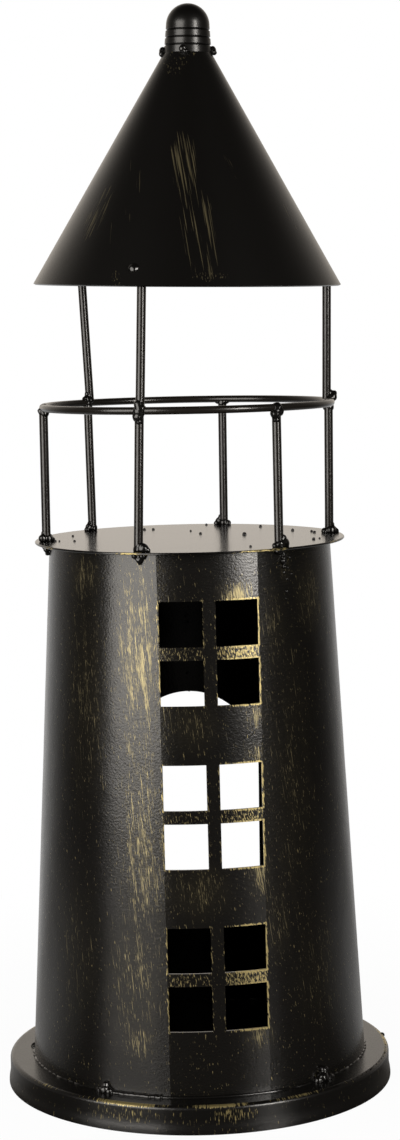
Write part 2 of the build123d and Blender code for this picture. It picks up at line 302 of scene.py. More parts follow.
# %% [markdown]
# ## Black lacquer
# All the steel was sprayed with one satin black lacquer. The eye reads such a coat by how sharp its
# reflections are, how they wander over hand-rolled sheet, and the fine pebbling that sprayers call orange
# peel. The first is the roughness, the others are two scales of bump. One function makes the coat for all
# pieces. Gold paint is flakes of metal in a binder, so it is mostly metallic and rougher.

# %% Mix the lacquer
LACQUER_BLACK = linear("#0c0b0a")
LACQUER_IOR = 1.6
GOLD_METALLIC, GOLD_ROUGHNESS = 0.85, 0.4
WAVE_SIZE = 24.0
# The finest pebbles are some tenths of a mm across, too fine to show, so they are drawn coarser.
PEBBLE_SIZE = 0.9


def lacquer(name, roughness, draw_gold=None, wave=0.12, peel=0.02, black=LACQUER_BLACK):
    """Lacquer with wave and peel heights in mm. The drawing gives the share and the colour of the gold."""
    material = bpy.data.materials.new(name)
    tree = new_tree(material)
    metres = add(tree, "TexCoord", out="Object")
    place = add(tree, "VectorMath", {0: metres, "Scale": 1 / MM}, operation="SCALE")
    coat = {"Base Color": black, "Roughness": roughness, "IOR": LACQUER_IOR}
    for height, size, detail in ((wave, WAVE_SIZE, 1.0), (peel, PEBBLE_SIZE, 2.0)):
        if height:
            relief = add(tree, "TexNoise", {"Vector": place, "Scale": 1 / size, "Detail": detail})
            bump = {"Height": relief, "Distance": height * MM, "Strength": 1.0}
            if "Normal" in coat:
                bump["Normal"] = coat["Normal"]
            coat["Normal"] = add(tree, "Bump", bump)
    if draw_gold:
        gold, pigment = draw_gold(tree, place)
        coat["Base Color"] = add(tree, "Mix", {0: gold, 6: black, 7: pigment}, out=2, data_type="RGBA")
        coat["Metallic"] = add(tree, "Math", [gold, GOLD_METALLIC], operation="MULTIPLY")
        coat["Roughness"] = add(tree, "Mix", {0: gold, 2: roughness, 3: GOLD_ROUGHNESS})
    shader = add(tree, "BsdfPrincipled", coat)
    add(tree, "OutputMaterial", {"Surface": shader})
    return material


def dress(material, *names):
    """Give frame nodes one material."""
    for name in names:
        nodes[name].data.materials.clear()
        nodes[name].data.materials.append(material)
    print(material.name, "on", len(names), "nodes")


# The cap is a spun and sprayed shell: a dull gloss with one soft light on its dome.
dress(lacquer("satin_black_lacquer_on_cap", 0.29), "finial_cap")

# %% Coat the rods
# Drawn rod, sprayed from all sides: two long lights along each rod, a little broken by the peel. Its black
# looks lighter than that of the sheet.
ROD_BLACK = linear("#1d1a17")
balusters = [name for name in nodes if name.startswith("baluster_") and not name.endswith("welds")]
posts = [name for name in nodes if name.startswith("lantern_post_") and not name.endswith("welds")]
dress(lacquer("satin_black_lacquer_on_rod", 0.22, wave=0.0, peel=0.03, black=ROD_BLACK),
      "rail_ring", *balusters, *posts)

# Lacquer over weld metal: glossier, because it gathers in the hollows, with sharp sparks on every lump.
weld_lacquer = lacquer("gloss_black_lacquer_on_weld", 0.2, wave=0.0, peel=0.02)
# Lacquer that ran together in a corner dries without any peel, and gives one thin, unbroken light.
run_lacquer = lacquer("gloss_black_lacquer_run_together", 0.2, peel=0.0)
print("lacquers ready for welds:", weld_lacquer.name, run_lacquer.name)

# %% [markdown]
# ## Sheets laid flat
# A brush runs along the sheet, so its strokes are drawn on the sheet as a flat picture, in millimetres. A
# round wall is unrolled: the way across is the angle times the radius. A stroke over a cone is straight
# only as seen from where the brush was held, so that sheet is drawn as a view from the side.

# %% Flatten the sheets


def unrolled(tree, place, radius):
    """Place on a round wall as if its sheet lay flat: X is mm round from the windows, Z is the height."""
    x, y, z = [add(tree, "SeparateXYZ", [place], out=axis) for axis in "XYZ"]
    front = add(tree, "Math", [y, -1.0], operation="MULTIPLY")
    angle = add(tree, "Math", [x, front], operation="ARCTAN2")
    around = add(tree, "Math", [angle, radius], operation="MULTIPLY")
    return add(tree, "CombineXYZ", {"X": around, "Z": z})


def seen_flat(tree, place, angle):
    """Place on a sheet as seen square from an angle: X is mm to the right of the axis, Z is the height."""
    right = (cos(radians(angle)), sin(radians(angle)), 0)
    across = add(tree, "VectorMath", [place, right], out="Value", operation="DOT_PRODUCT")
    height = add(tree, "SeparateXYZ", [place], out="Z")
    return add(tree, "CombineXYZ", {"X": across, "Z": height})


TOWER_RADIUS = (tower_foot_radius + tower_top_radius) / 2
print("half way up, the tower unrolls to", round(2 * pi * TOWER_RADIUS), "mm of sheet")

# %% [markdown]
# ## Dry-brushed gold
# The black was aged with gold paint from an almost dry brush, which leaves only broken strokes, thick on
# edges and thin on flat sheet. So the gold is a noise drawn out along the stroke and cut off at a level:
# where there is much paint the level is soon passed and strokes run together, and where there is little
# only flecks are left. Soft patches say how much paint there is. The line of a single bristle is too fine
# to show, so all strokes are drawn a few times as wide.

# %% Helpers for brushed gold
THIN_GOLD, THICK_GOLD = linear("#a89c76"), linear("#c6b57e")
PAINT_LIFT = 0.22


def strokes(tree, flat, width, length, lean=0.0):
    """Noise drawn out into strokes of a width and a length in mm, leaning by an angle from upright."""
    drawn = add(tree, "Mapping", {"Vector": flat, "Rotation": (0, radians(lean), 0),
                                  "Scale": (width, 1, length)}, vector_type="TEXTURE")
    return add(tree, "TexNoise", {"Vector": drawn, "Scale": 1.0, "Detail": 2.0, "Distortion": 0.2})


def patches(tree, flat, unit, places, lean=0.0, core=0.0):
    """Largest of several soft patches on a flat sheet, each full inside a core and fading to its edge.

    A place is across, height, half width, half height and strength; unit is what 1 across is in mm.
    """
    most = 0.0
    for across, height, half_width, half_height, strength in places:
        spot = add(tree, "Mapping", {"Vector": flat, "Location": (across * unit, 0, height),
                                     "Rotation": (0, radians(lean), 0),
                                     "Scale": (half_width * unit, 1, half_height)}, vector_type="TEXTURE")
        away = add(tree, "VectorMath", [spot], out="Value", operation="LENGTH")
        patch = add(tree, "MapRange", {"Value": away, "From Min": 1.0, "From Max": core,
                                       "To Max": strength}, interpolation_type="SMOOTHSTEP")
        most = add(tree, "Math", [most, patch], operation="MAXIMUM")
    return most


def left_by_brush(tree, drawn, amount, bare=0.68, soft=0.12, cover=1.0):
    """Share of gold where the drawn noise, raised by the amount of paint, passes a bare wall's level."""
    raised = add(tree, "Math", [amount, PAINT_LIFT, drawn], operation="MULTIPLY_ADD")
    return add(tree, "MapRange", {"Value": raised, "From Min": bare, "From Max": bare + soft,
                                  "To Max": cover})


print("a full brush lifts the noise by", PAINT_LIFT)

# %% [markdown]
# ## Gold round the windows
# The brush caught the rims of the panes and the level bars, more on the right than on the left, and left
# the upright bar black. The panes sit in a regular grid, so folding the coordinates about the middle of a
# window measures the distance to the nearest pane, and gold near that edge needs no drawing by hand.
# Folding goes on for ever, so it is stopped below the lowest window and behind the tower.

# %% Find the panes
# The grid as it is cut in the solids, in mm.
PANE_WIDTH, PANE_HEIGHT, GLAZING_BAR = 18.0, 19.0, 5.5
WINDOW_MIDDLE, WINDOW_SPACING = 61.35, 68.0
BELOW_WINDOWS = 34.0


def from_pane(tree, side, rise):
    """Distance in mm to the nearest pane, for a place folded into one quarter of a window."""
    gaps = []
    for folded, pane in ((side, PANE_WIDTH), (rise, PANE_HEIGHT)):
        off = add(tree, "Math", [folded, (pane + GLAZING_BAR) / 2], operation="SUBTRACT")
        off = add(tree, "Math", [off], operation="ABSOLUTE")
        off = add(tree, "Math", [off, pane / 2], operation="SUBTRACT")
        gaps.append(add(tree, "Math", [off, 0.0], operation="MAXIMUM"))
    gap = add(tree, "CombineXYZ", {"X": gaps[0], "Z": gaps[1]})
    return add(tree, "VectorMath", [gap], out="Value", operation="LENGTH")


print("windows", 2 * PANE_WIDTH + GLAZING_BAR, "mm wide, one every", WINDOW_SPACING, "mm")

# %% Paint the rims and the bars
# Shares of paint: the way they change along, where that starts and ends in mm, and the share at each end.
# A rim takes the largest of its shares, and a bar takes all of them multiplied.
RIM_SHARES = [("across", 2.0, 12.0, 0.15, 1.0), ("across", -19.5, -20.8, 0.0, 0.7),
              ("side", 4.4, 3.4, 0.0, 0.4)]
BAR_SHARES = [("rise", 3.0, 2.4, 0.0, 1.05), ("side", 21.5, 20.5, 0.0, 1.0),
              ("across", -4.0, 12.0, 0.5, 1.0), ("side", 2.2, 3.2, 0.0, 1.0)]
RIM_WIDTH, RIM_FULL, RIM_PAINT = 1.2, 0.4, 1.5
MIDDLE_WINDOW_SHARE, WITHIN_WINDOW = 0.75, 10.0


def share_out(tree, paint, ways, shares, join):
    """Paint joined in turn with each of its shares, by taking the larger or by multiplying."""
    for way, start, end, at_start, at_end in shares:
        share = add(tree, "MapRange", {"Value": ways[way], "From Min": start, "From Max": end,
                                       "To Min": at_start, "To Max": at_end})
        paint = add(tree, "Math", [paint, share], operation=join)
    return paint


def rim_paint(tree, ways):
    """Paint on the rims: full on the right, some at the far left and beside the upright bar."""
    rim = add(tree, "MapRange", {"Value": from_pane(tree, ways["side"], ways["rise"]),
                                 "From Min": RIM_WIDTH, "From Max": RIM_FULL, "To Max": RIM_PAINT})
    largest = share_out(tree, 0.0, ways, RIM_SHARES, "MAXIMUM")
    return add(tree, "Math", [rim, largest], operation="MULTIPLY")


def bar_paint(tree, ways, z):
    """Paint on the level bars: full on the right, none on the upright bar, less on the middle window."""
    at_middle = add(tree, "Math", [z, WINDOW_MIDDLE + WINDOW_SPACING, WITHIN_WINDOW],
                    operation="COMPARE")
    by_window = add(tree, "MapRange", {"Value": at_middle, "To Min": 1.0, "To Max": MIDDLE_WINDOW_SHARE})
    return share_out(tree, by_window, ways, BAR_SHARES, "MULTIPLY")


def window_paint(tree, place):
    """Paint on the rims of all panes, and paint on all level bars."""
    x, y, z = [add(tree, "SeparateXYZ", [place], out=axis) for axis in "XYZ"]
    side = add(tree, "Math", [x], operation="ABSOLUTE")
    from_middle = add(tree, "Math", [z, WINDOW_MIDDLE], operation="SUBTRACT")
    rise = add(tree, "Math", [from_middle, WINDOW_SPACING / 2], operation="PINGPONG")
    ways = {"across": x, "side": side, "rise": rise}
    above_foot = add(tree, "Math", [z, BELOW_WINDOWS], operation="GREATER_THAN")
    in_front = add(tree, "Math", [y, 0.0], operation="LESS_THAN")
    at_windows = add(tree, "Math", [above_foot, in_front], operation="MULTIPLY")
    return [add(tree, "Math", [paint, at_windows], operation="MULTIPLY")
            for paint in (rim_paint(tree, ways), bar_paint(tree, ways, z))]


print("rims painted", RIM_WIDTH, "mm wide, bars", GLAZING_BAR, "mm")

# %% [markdown]
# ## Gold round the doorway
# The doorway at the back has a sill, two jambs and a round arch, and its rim caught the brush as the panes
# did. Seen square from behind, it is a tall slot with a round top: its edge is measured sideways below the
# spring of the arch, and from the arch's own middle above it.

# %% Find the doorway's rim
# In degrees and mm. The paint is drawn half a mm higher than the opening in the solids.
DOORWAY_ANGLE, DOORWAY_HALF = 175.0, 32.0
DOORWAY_SILL, DOORWAY_SPRING = 62.5, 130.5
DOOR_RIM_WIDTH, DOOR_RIM_FULL, DOOR_RIM_PAINT = 1.6, 0.4, 1.2


def doorway_paint(tree, place):
    """Paint on the doorway's rim."""
    y, z = [add(tree, "SeparateXYZ", [place], out=axis) for axis in "YZ"]
    aside = add(tree, "SeparateXYZ", [seen_flat(tree, place, DOORWAY_ANGLE)], out="X")
    aside = add(tree, "Math", [aside], operation="ABSOLUTE")
    above_spring = add(tree, "Math", [z, DOORWAY_SPRING], operation="SUBTRACT")
    above_spring = add(tree, "Math", [above_spring, 0.0], operation="MAXIMUM")
    from_arch = add(tree, "CombineXYZ", {"X": aside, "Z": above_spring})
    from_arch = add(tree, "VectorMath", [from_arch], out="Value", operation="LENGTH")
    to_jamb = add(tree, "Math", [from_arch, DOORWAY_HALF], operation="SUBTRACT")
    to_sill = add(tree, "Math", [DOORWAY_SILL, z], operation="SUBTRACT")
    to_doorway = add(tree, "Math", [to_jamb, to_sill], operation="MAXIMUM")
    rim = add(tree, "MapRange", {"Value": to_doorway, "From Min": DOOR_RIM_WIDTH,
                                 "From Max": DOOR_RIM_FULL, "To Max": DOOR_RIM_PAINT})
    at_back = add(tree, "Math", [y, 0.0], operation="GREATER_THAN")
    return add(tree, "Math", [rim, at_back], operation="MULTIPLY")


print("doorway", 2 * DOORWAY_HALF, "mm wide, arch springs at", DOORWAY_SPRING)

# %% [markdown]
# ## Gold on the tower's wall
# On the wall the brush went up and down, most at the left of the windows and at the corners of the panes,
# with a few tired strokes on the sides and the back. Three kinds of marks lie over each other: short
# flecks, long runs, and specks flicked off the bristles. A faint film of gold fills the densest places.
# Inside the tower there is no gold, and the normal tells inside from outside.

# %% Brush the wall
TOWER_PATCHES = [
    (-27, 195, 20, 85, 1.0), (-26, 120, 16, 80, 0.9), (-29, 60, 17, 50, 0.75), (-28, 36, 10, 14, 0.9),
    (-53, 228, 16, 18, 0.7), (-50, 180, 24, 80, 0.5), (25, 205, 12, 32, 0.5), (30, 140, 24, 110, 0.4),
    (22, 85, 10, 30, 0.6), (48, 218, 16, 26, 0.6), (33, 232, 5, 12, 0.7), (12, 222, 13, 10, 1.1),
    (17, 171, 7, 11, 1.1), (16, 103, 7, 16, 1.1), (14, 36, 8, 12, 0.9), (16, 155, 7, 8, 1.0),
    (-8, 168, 18, 18, 0.6), (-6, 98, 18, 18, 0.6), (-55, 70, 20, 60, 0.4), (40, 60, 24, 50, 0.4),
    (78, 150, 26, 100, 0.6), (112, 205, 24, 50, 0.8), (128, 80, 22, 70, 0.7), (165, 210, 26, 32, 0.9),
    (178, 34, 30, 26, 0.8), (-150, 150, 20, 90, 0.7), (-118, 60, 26, 60, 0.7), (-98, 190, 26, 60, 0.7),
]
# A stroke is given by its width, length and lean, a mark by its stroke and the cut's level and softness.
BUNDLES = (3.0, 40, -5)
BUNDLE_GAP, BUNDLE_CORE, GAP_SHARE, CORE_SHARE = 0.35, 0.65, 0.6, 1.25
FLECKS, RUNS = ((0.3, 4.0, -7), 0.73, 0.1), ((0.36, 14, -7), 0.74, 0.1)
SPECKS = ((0.5, 0.8, 0), 0.8, 0.05)
LEAST_PAINT, SPECK_PAINT, FILM_SHARE = 0.05, 0.1, 0.04


def wall_gold(tree, flat):
    """Gold of the brush marks on the wall, the most that any kind of mark leaves."""
    paint = patches(tree, flat, radians(1) * TOWER_RADIUS, TOWER_PATCHES)
    bundles = add(tree, "MapRange", {"Value": strokes(tree, flat, *BUNDLES), "From Min": BUNDLE_GAP,
                                     "From Max": BUNDLE_CORE, "To Min": GAP_SHARE, "To Max": CORE_SHARE})
    paint = add(tree, "Math", [paint, bundles], operation="MULTIPLY")
    paint = add(tree, "Math", [paint, LEAST_PAINT], operation="MAXIMUM")
    gold = add(tree, "Math", [paint, FILM_SHARE], operation="MULTIPLY")
    for (stroke, bare, soft), amount in ((FLECKS, paint), (RUNS, paint), (SPECKS, SPECK_PAINT)):
        marks = left_by_brush(tree, strokes(tree, flat, *stroke), amount, bare, soft)
        gold = add(tree, "Math", [gold, marks], operation="MAXIMUM")
    return gold


print("wall brushed in", len(TOWER_PATCHES), "patches")

# %% Gild the tower
EDGE_STROKES, BAR_STROKES = (0.6, 3.0, -10), (0.5, 1.8, -10)
FACING_OUT = -30.0


def outside(tree, place):
    """1 on the sheet's outer face and its cut edges, 0 on its inner face."""
    normal = add(tree, "NewGeometry", out="Normal")
    facing = add(tree, "VectorMath", [normal, place], out="Value", operation="DOT_PRODUCT")
    upright = add(tree, "CombineXYZ", {"Z": add(tree, "SeparateXYZ", [place], out="Z")})
    height_part = add(tree, "VectorMath", [normal, upright], out="Value", operation="DOT_PRODUCT")
    outward = add(tree, "Math", [facing, height_part], operation="SUBTRACT")
    return add(tree, "Math", [outward, FACING_OUT], operation="GREATER_THAN")


def tower_gold(tree, place):
    """Gold of the windows, the doorway and the wall, thicker on the edges."""
    flat = unrolled(tree, place, TOWER_RADIUS)
    rims, bars = window_paint(tree, place)
    rims = add(tree, "Math", [rims, doorway_paint(tree, place)], operation="MAXIMUM")
    edges = left_by_brush(tree, strokes(tree, flat, *EDGE_STROKES), rims)
    mottled = left_by_brush(tree, strokes(tree, flat, *BAR_STROKES), bars)
    edges = add(tree, "Math", [edges, mottled], operation="MAXIMUM")
    gold = add(tree, "Math", [wall_gold(tree, flat), edges], operation="MAXIMUM")
    gold = add(tree, "Math", [gold, outside(tree, place)], operation="MULTIPLY")
    pigment = add(tree, "Mix", {0: edges, 6: THIN_GOLD, 7: THICK_GOLD}, out=2, data_type="RGBA")
    return gold, pigment


# Hand-rolled sheet, sprayed thick: long lights that wander, strongly pebbled, under broken gold.
dress(lacquer("satin_black_lacquer_with_gold_on_tower", 0.22, tower_gold, wave=0.2, peel=0.075),
      "tower_shell")

# %% [markdown]
# ## Gold on the edges
# Edges catch a dry brush first. On the pan the gold lies along the bend at the top of the skirt and runs
# down from it in ticks, and on the gallery plate it sits on the thin rim. The same helpers serve, with a
# test on the distance from the axis that keeps gold off the flats. Patches are given in degrees round the
# axis and in mm of height.

# %% Gild the base and the plate
BASE_PATCHES = [
    (-29, 11.8, 17, 1.6, 2.0), (-1, 11.8, 13, 1.3, 1.8), (23, 11.8, 12, 0.9, 1.0), (-29, 8, 18, 6, 0.6),
    (3, 8, 12, 6, 0.75), (-8, 6, 34, 6, 0.15), (-60, 11.8, 10, 0.8, 0.7), (88, 11.8, 24, 1.4, 1.4),
    (140, 11.8, 20, 1.4, 1.6), (150, 8, 18, 6, 0.7), (-172, 11.8, 16, 1.2, 1.2),
    (-128, 11.8, 22, 1.4, 1.6), (-118, 8, 16, 6, 0.7),
]
PLATE_PATCHES = [
    (-29, 239.5, 10, 40, 1.4), (20, 239.5, 18, 40, 1.4), (-70, 239.5, 12, 40, 0.7),
    (60, 239.5, 12, 40, 0.7), (115, 239.5, 20, 40, 1.1), (170, 239.5, 16, 40, 1.3),
    (-128, 239.5, 18, 40, 1.2),
]
EDGE_FADE = 0.5


def edge_gold(radius, places, width, length, rim):
    """Function that draws thick gold in patches on a wall of a radius, only as far in as a rim's width."""
    def draw(tree, place):
        flat = unrolled(tree, place, radius)
        paint = patches(tree, flat, radians(1) * radius, places)
        gold = left_by_brush(tree, strokes(tree, flat, width, length), paint)
        x, y = [add(tree, "SeparateXYZ", [place], out=axis) for axis in "XY"]
        across = add(tree, "CombineXYZ", {"X": x, "Y": y})
        reach = add(tree, "VectorMath", [across], out="Value", operation="LENGTH")
        beyond = add(tree, "MapRange", {"Value": reach, "From Min": radius - rim - EDGE_FADE,
                                        "From Max": radius - rim})
        return add(tree, "Math", [gold, beyond], operation="MULTIPLY"), THICK_GOLD
    return draw


# Pressed sheet: smoother than the tower, with one long light along the bend.
pan_gold = edge_gold(base_radius, BASE_PATCHES, width=0.5, length=3.5, rim=2.5)
dress(lacquer("satin_black_lacquer_with_gold_on_pan", 0.25, pan_gold, peel=0.04), "base_pan")
# Flat sheet, almost a mirror: it holds the white sweep and the feet of the rods.
plate_gold = edge_gold(plate_radius, PLATE_PATCHES, width=2.5, length=0.6, rim=0.6)
dress(lacquer("gloss_black_lacquer_with_gold_on_plate", 0.2, plate_gold, wave=0.05), "gallery_plate")

# %% [markdown]
# ## Scratches on the roof
# The roof got the brush only a few times: a long stroke down the middle, some short ones beside it, and two
# from behind. Each left a bundle of straight, parallel hairlines, drawn on a flat picture of the roof as
# seen from the side where the brush was held. The paint was nearly used up, so it covers the black only in
# part. A few flecks sit under the cap and on the rim.

# %% Gild the roof
FRONT_VIEW, BACK_VIEW = -7, 170
# Each brushing has the angle it is seen from, its lean, the length of its strokes, and its patches.
ROOF_BRUSHINGS = [
    (FRONT_VIEW, -8.5, 24, [(2.4, 394, 9, 27, 1.1), (6.4, 371, 10, 30, 1.05)]),
    (FRONT_VIEW, 25, 20, [(-35.5, 380, 4.8, 19, 1.1)]),
    (FRONT_VIEW, 3, 20, [(-20, 390, 6, 22, 0.6), (-28, 372, 4, 14, 0.5)]),
    (FRONT_VIEW, -24, 16, [(20, 399, 1.8, 12, 0.9), (44, 379, 1.8, 12, 0.8)]),
    (FRONT_VIEW, 0, 1.5, [(-28, 352, 3, 5, 0.9), (10, 352, 11, 3, 0.9), (-3, 443, 9, 8, 0.85),
                          (5, 447, 2, 3, 1.1)]),
    (BACK_VIEW, 14, 24, [(-12, 378, 7, 36, 1.1), (26, 368, 4, 20, 1.0)]),
]
HAIRLINE = 0.6
PATCH_CORE = 0.55
ROOF_BARE, ROOF_COVER = 0.79, 0.27


def roof_gold(tree, place):
    """Thin gold of all brushings, each only on the side that it was made from."""
    gold = 0.0
    for angle, lean, length, places in ROOF_BRUSHINGS:
        flat = seen_flat(tree, place, angle)
        paint = patches(tree, flat, 1.0, places, lean, core=PATCH_CORE)
        brushed = left_by_brush(tree, strokes(tree, flat, HAIRLINE, length, lean), paint,
                                bare=ROOF_BARE, cover=ROOF_COVER)
        outward = (sin(radians(angle)), -cos(radians(angle)), 0)
        this_side = add(tree, "VectorMath", [place, outward], out="Value", operation="DOT_PRODUCT")
        this_side = add(tree, "Math", [this_side, 0.0], operation="GREATER_THAN")
        brushed = add(tree, "Math", [brushed, this_side], operation="MULTIPLY")
        gold = add(tree, "Math", [gold, brushed], operation="MAXIMUM")
    return gold, THIN_GOLD


# Rolled cone, sprayed thin: deep black in the middle, and light that runs in from both edges.
dress(lacquer("satin_black_lacquer_with_scratches_on_roof", 0.27, roof_gold, peel=0.01), "roof_cone")
print("roof brushed", len(ROOF_BRUSHINGS), "ways")

# %% [markdown]
# ## Weld metal
# A weld is a puddle that froze. In the solids every joint is a plain lump, right in size and place, but on
# the object each one is different: some sag, some climb the rod, some throw a fin to one side. Sculpting
# by hand couldn't be repeated, so we melt a handful of balls together for each joint. The first helpers
# say where the balls lie, in mm from the joint's own point, and where a rod ends.

# %% Place balls of metal
END_DEPTH = 1.5


def polar(radius, angle, height):
    """Point in mm at a radius and a height, at an angle in degrees from the windows."""
    return Vector((radius * sin(radians(angle)), -radius * cos(radians(angle)), height))


def angle_of(point):
    """Angle of a point round the tower, in degrees from the windows."""
    return degrees(atan2(point.x, -point.y))


def lumps_at(radius, angle, height, lumps):
    """Balls of one joint, each given as across, out, up and radius in mm from the joint's own point."""
    across = Vector((cos(radians(angle)), sin(radians(angle)), 0))
    return [(polar(radius + out, angle, height + up) + across * side, size)
            for side, out, up, size in lumps]


def end_point(node, at_top):
    """Middle, in mm, of the upper or lower end of a rod or a seam."""
    points = [v.co / MM for v in nodes[node].data.vertices]
    end = max(p.z for p in points) if at_top else min(p.z for p in points)
    near_end = [p for p in points if abs(p.z - end) < END_DEPTH]
    return sum(near_end, Vector()) / len(near_end)


def joints_at(rods, at_top, radius, height, joints):
    """Balls of the joints of some rods, each joint at the angle of its own rod's upper or lower end."""
    balls = []
    for place, lumps in joints.items():
        balls += lumps_at(radius, angle_of(end_point(rods + place, at_top)), height, lumps)
    return balls


print("feet of the balusters at", [round(angle_of(end_point(name, at_top=False))) for name in balusters])

# %% [markdown]
# ## Melting balls together
# A voxel remesh joins the balls into one skin, smoothing lets it flow into the corners, and a little noise
# along the normals gives it the crust of cooled metal. The new points are gathered first and set in one
# go, because reading a normal after a point has moved is slow. Each set of lumps stands in for the node of
# plain ones that it replaces.

# %% Helpers for weld metal
WELD_VOXEL = 0.35
BALL_DETAIL = 3
FLOW_FACTOR, FLOW_ROUNDS = 0.5, 3
CRUST_HEIGHT, CRUST_SIZE = 0.22, 1.5


def as_piece(name, mesh, stands_for=None, finish=weld_lacquer):
    """Smooth object that rides on the frame and takes a weld's finish; it may stand for a frame node."""
    for face in mesh.polygons:
        face.use_smooth = True
    mesh.materials.append(finish)
    obj = bpy.data.objects.new(name, mesh)
    scene.collection.objects.link(obj)
    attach(obj, "root")
    if stands_for:
        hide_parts(stands_for)


def skin_over(name, balls, voxel):
    """Mesh of one smooth skin over balls, in mm."""
    build = bmesh.new()
    for centre, size in balls:
        bmesh.ops.create_icosphere(build, subdivisions=BALL_DETAIL, radius=size,
                                   matrix=Matrix.Translation(centre))
    raw = bpy.data.meshes.new(name + "_balls")
    build.to_mesh(raw)
    build.free()
    puddle = bpy.data.objects.new(name + "_balls", raw)
    scene.collection.objects.link(puddle)
    skin = puddle.modifiers.new("skin", "REMESH")
    skin.mode = "VOXEL"
    skin.voxel_size = voxel
    flow = puddle.modifiers.new("flow", "SMOOTH")
    flow.factor = FLOW_FACTOR
    flow.iterations = FLOW_ROUNDS
    melted = puddle.evaluated_get(bpy.context.evaluated_depsgraph_get())
    mesh = bpy.data.meshes.new_from_object(melted)
    bpy.data.objects.remove(puddle)
    mesh.name = name
    return mesh


def melt(name, balls, low=-inf, high=inf, stands_for=None, voxel=WELD_VOXEL):
    """Melt balls into one crusted piece, kept between two heights."""
    mesh = skin_over(name, balls, voxel)
    crusted = []
    for vertex in mesh.vertices:
        crust = noise.noise(vertex.co / CRUST_SIZE) * CRUST_HEIGHT * voxel / WELD_VOXEL
        point = vertex.co + vertex.normal * crust
        point.z = min(max(point.z, low), high)
        crusted += list(point * MM)
    mesh.vertices.foreach_set("co", crusted)
    mesh.update()
    print(name, len(balls), "balls,", len(mesh.polygons), "faces")
    as_piece(name, mesh, stands_for)


print("skin of", WELD_VOXEL, "mm voxels, crust of", CRUST_HEIGHT, "mm")

# %% [markdown]
# ## Joints of the gallery
# The rods stand where the maker put them, so the lumps take their angles from the rods of the frame. The
# shapes are read off the photograph: a diamond of metal where the front left rod crosses the ring, a fin at
# the back left, heavy feet on the right. Under the plate, tacks hold it to the tower, and metal dripped
# down the wall below three of the rods.

# %% Melt the welds on the plate
FOOT_LUMPS = {
    "front_left": [(2.4, 0.2, 1.2, 2.3), (1.0, 0.4, 2.4, 1.8), (0.2, 0.3, 0.8, 2.3), (4.2, 0.2, 0.5, 1.2)],
    "front_right": [(2.6, 0.2, 1.4, 2.3), (1.4, 0.3, 3.6, 1.9), (0.0, 0.4, 1.0, 2.4), (4.0, 0.2, 0.4, 1.2),
                    (-2.0, 0.0, 0.6, 1.4)],
    "left": [(0.0, -0.6, 1.2, 2.5), (1.2, 1.6, 1.4, 2.0), (0.4, 0.8, 3.6, 1.5), (-0.4, -2.6, 0.6, 1.3)],
    "right": [(-0.6, 0.6, 1.2, 2.6), (-0.6, -2.2, 0.8, 1.6), (-0.4, 2.8, 0.6, 1.5), (0.2, 0.8, 3.6, 1.6)],
    "back_left": [(3.4, 0.0, 0.6, 1.3), (2.2, 0.0, 1.8, 1.6), (1.1, 0.0, 3.4, 1.5), (0.0, 0.0, 1.0, 2.3)],
    "back_right": [(3.6, 0.0, 0.6, 1.3), (2.4, 0.0, 1.8, 1.6), (1.2, 0.0, 3.6, 1.5), (-2.0, 0.0, 0.7, 1.5),
                   (0.0, -0.3, 1.0, 2.3)],
}
TACK_LUMPS = {
    "front_left": [(-1.5, 0.2, -0.8, 1.7), (1.5, 0.2, -0.8, 1.7), (0.1, 0.2, -2.6, 1.5),
                   (0.2, 0.1, -3.9, 0.9)],
    "front_right": [(0.0, 0.2, -0.6, 1.8), (1.8, 0.1, -0.8, 1.3), (2.7, 0.2, -2.6, 1.4),
                    (2.5, 0.2, -5.0, 1.5), (3.0, 0.2, -7.6, 1.0)],
    "left": [(0.0, 1.0, -0.8, 2.0), (0.8, 0.8, -2.4, 1.5), (0.6, 0.4, -4.2, 1.0)],
    "right": [(0.0, 0.8, -0.8, 1.9)],
    "back_left": [(0.0, 0.2, -1.0, 1.9), (1.6, 0.2, -0.8, 1.4)],
    "back_right": [(0.0, 0.2, -1.0, 2.0)],
}
TACK_PROUD = 0.6
BITE = 0.2

foot_balls = joints_at("baluster_", False, post_circle, plate_top, FOOT_LUMPS)
tack_balls = joints_at("baluster_", False, tower_top_radius + TACK_PROUD, tower_top, TACK_LUMPS)
melt("baluster_foot_weld_metal", foot_balls, low=plate_top - BITE, stands_for="baluster_foot_welds")
melt("gallery_tack_metal", tack_balls, high=tower_top + BITE, stands_for="gallery_tacks")

# %% Melt the welds on the ring
RING_LUMPS = {
    "front_left": [(0.2, 0.6, -4.4, 1.7), (-0.3, 0.5, -2.4, 2.4), (0.2, 0.4, -0.2, 2.7),
                   (0.9, 0.8, -1.4, 1.6)],
    "front_right": [(-0.9, 0.5, -2.6, 2.2), (1.0, 0.4, -1.6, 2.3), (0.2, 0.3, -0.2, 2.4),
                    (-0.4, 0.5, -5.0, 1.7)],
    "left": [(0.0, -0.3, -2.2, 2.3), (0.2, -0.2, 0.0, 2.0), (0.0, 1.2, -1.4, 1.4)],
    "right": [(0.0, 0.2, -2.4, 2.3), (0.0, 0.2, 0.0, 2.1), (0.0, -1.2, -2.8, 1.4)],
    "back_left": [(0.0, 0.0, -2.0, 2.2), (0.3, 0.0, 0.0, 2.1)],
    "back_right": [(0.0, 0.0, -1.6, 2.2), (2.4, 0.0, -0.8, 1.4), (-2.2, 0.0, -0.8, 1.5),
                   (0.3, 0.0, -3.4, 1.4)],
}
